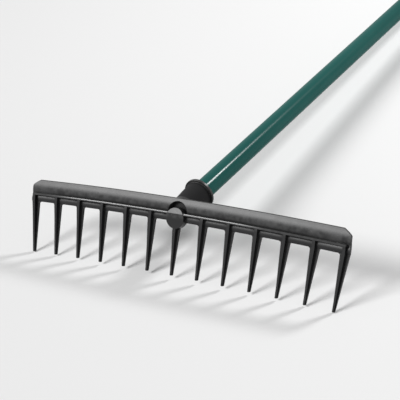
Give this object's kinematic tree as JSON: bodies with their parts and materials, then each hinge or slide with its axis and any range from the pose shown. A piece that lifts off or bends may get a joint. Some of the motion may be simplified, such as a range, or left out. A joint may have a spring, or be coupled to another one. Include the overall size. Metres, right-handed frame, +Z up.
{
  "type": "garden rake",
  "caption": "Garden rake: an arched moulded plastic head with T-section tines and a flared socket, on a long plastic-coated steel tube handle with a hanging hole.",
  "frame": {"origin": "on the floor under the middle of the rake's outer box, with the rake lying on its end tines and on the end of its handle", "axes": "+Z up from the floor, +Y from the head along the handle, +X along the head, to the right as seen from the front of the tines"},
  "size_m": [0.4, 1.2798, 0.0746],
  "materials": {
    "head_plastic": "satin black moulded polypropylene",
    "tube_steel": "plain rolled steel",
    "green_coat": "glossy dark green plastic coat",
    "screw_zinc": "bright zinc plate",
    "cap_plastic": "satin black plastic"
  },
  "bodies": {
    "root": {"rake_head": "head_plastic", "handle_tube": "tube_steel", "handle_sleeve": "green_coat", "fixing_screw": "screw_zinc", "hanger_cap": "cap_plastic"}
  },
  "joints": []
}
